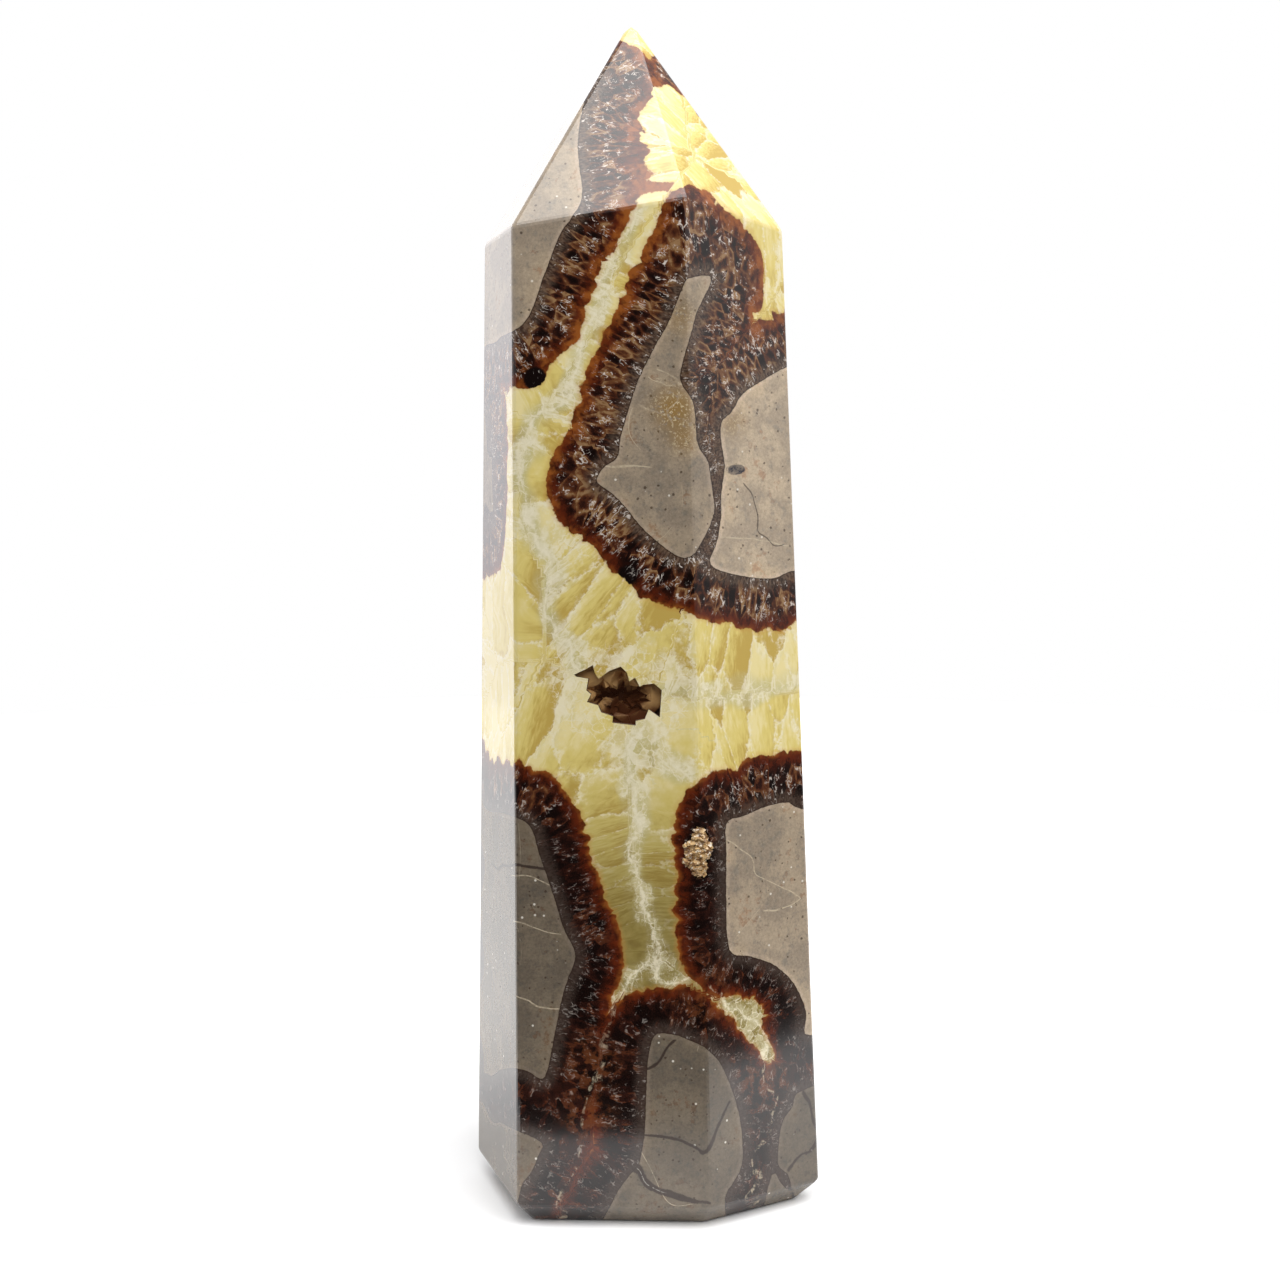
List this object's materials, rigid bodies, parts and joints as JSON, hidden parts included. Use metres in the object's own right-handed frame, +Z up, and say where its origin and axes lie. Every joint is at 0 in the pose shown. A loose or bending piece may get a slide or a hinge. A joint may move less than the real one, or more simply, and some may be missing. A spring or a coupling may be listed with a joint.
{
  "type": "septarian stone tower",
  "caption": "Polished hexagonal stone tower with an off-centre faceted point, a chamfered flat base to stand on, a crystal-lined hollow in front and a small crystal pit on an edge.",
  "frame": {"origin": "centre of the bounding box at the underside of the flat base", "axes": "+Z up along the tower to its point, -Y out of the side with the open hollow"},
  "size_m": [0.0539, 0.0427, 0.18],
  "materials": {
    "septarian": "polished",
    "vug_calcite": "natural crystal faces",
    "pit_calcite": "natural sugary crystals"
  },
  "bodies": {
    "root": {"stone": "septarian", "vug_crystals": "vug_calcite", "edge_pit_crystals": "pit_calcite"}
  },
  "joints": []
}
